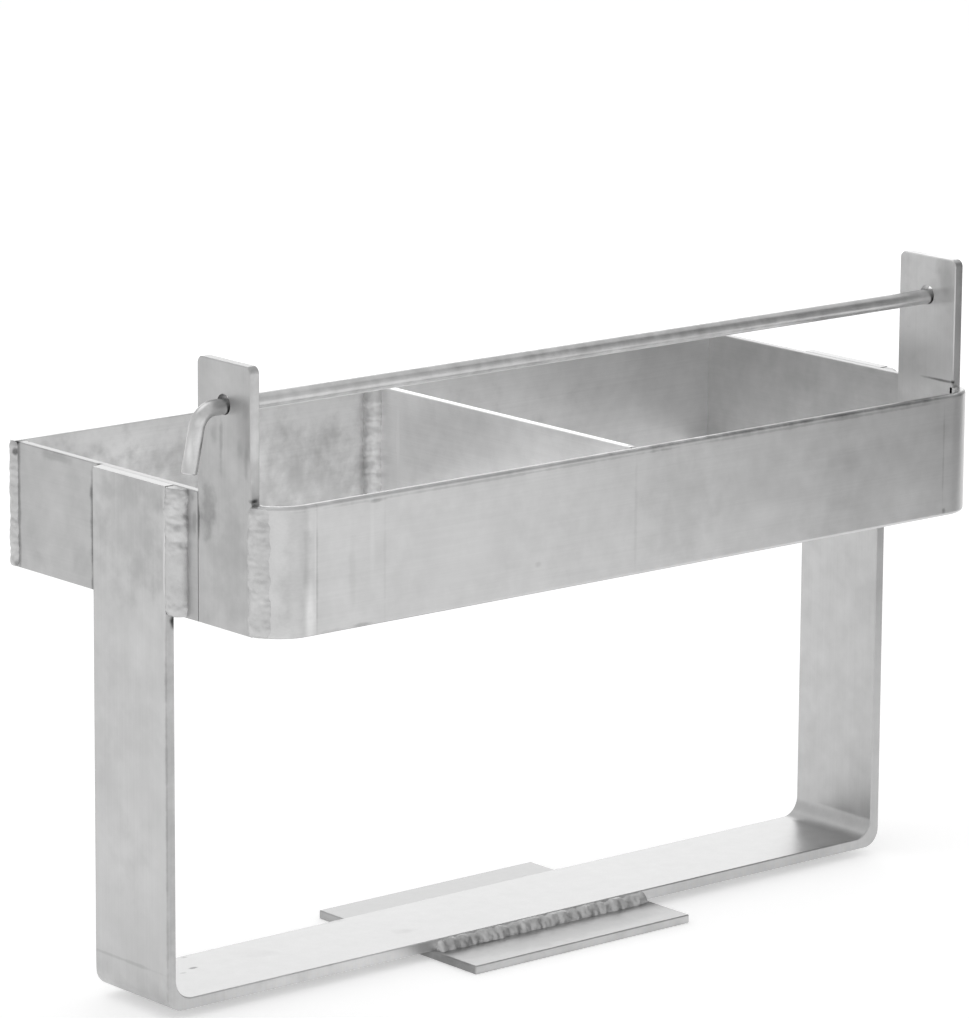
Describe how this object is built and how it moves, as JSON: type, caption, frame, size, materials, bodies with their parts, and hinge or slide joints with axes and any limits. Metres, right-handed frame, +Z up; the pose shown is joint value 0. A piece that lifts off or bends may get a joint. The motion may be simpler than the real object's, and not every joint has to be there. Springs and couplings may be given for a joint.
{
  "type": "jerry can holder",
  "caption": "Welded flat-bar rack with side-by-side cells for square utility jugs, a bent strap under them and a hooked rod that slides through upright lugs to lock them in.",
  "frame": {"origin": "middle of the base plate's underside, the face the rack stands on", "axes": "+X along the rack from the rod's hooked end to its plain end, +Y from the front band to the back plate, +Z up"},
  "size_m": [0.7123, 0.297, 0.4704],
  "materials": {
    "bar_metal": "mill finish, satin, with faint die marks and weld heat marks",
    "weld_metal": "rippled weld bead, as welded",
    "rod_metal": "drawn round bar, satin"
  },
  "bodies": {
    "rack": {"back_plate": "bar_metal", "left_side_plate": "bar_metal", "right_side_plate": "bar_metal", "divider": "bar_metal", "front_band": "bar_metal", "left_lug": "bar_metal", "right_lug": "bar_metal", "support_strap": "bar_metal", "base_plate": "bar_metal", "left_rear_corner_weld": "weld_metal", "right_rear_corner_weld": "weld_metal", "left_strap_weld": "weld_metal", "right_strap_weld": "weld_metal", "left_band_weld": "weld_metal", "right_band_weld": "weld_metal", "divider_rear_weld_left": "weld_metal", "divider_rear_weld_right": "weld_metal", "divider_front_weld_left": "weld_metal", "divider_front_weld_right": "weld_metal", "base_plate_front_weld": "weld_metal", "base_plate_rear_weld": "weld_metal"},
    "rod": {"lock_rod": "rod_metal"}
  },
  "joints": [
    {"name": "rod_pull", "type": "slide", "parent": "rack", "child": "rod", "axis": [-1, 0, 0], "range_m": [0, 0.7]}
  ]
}
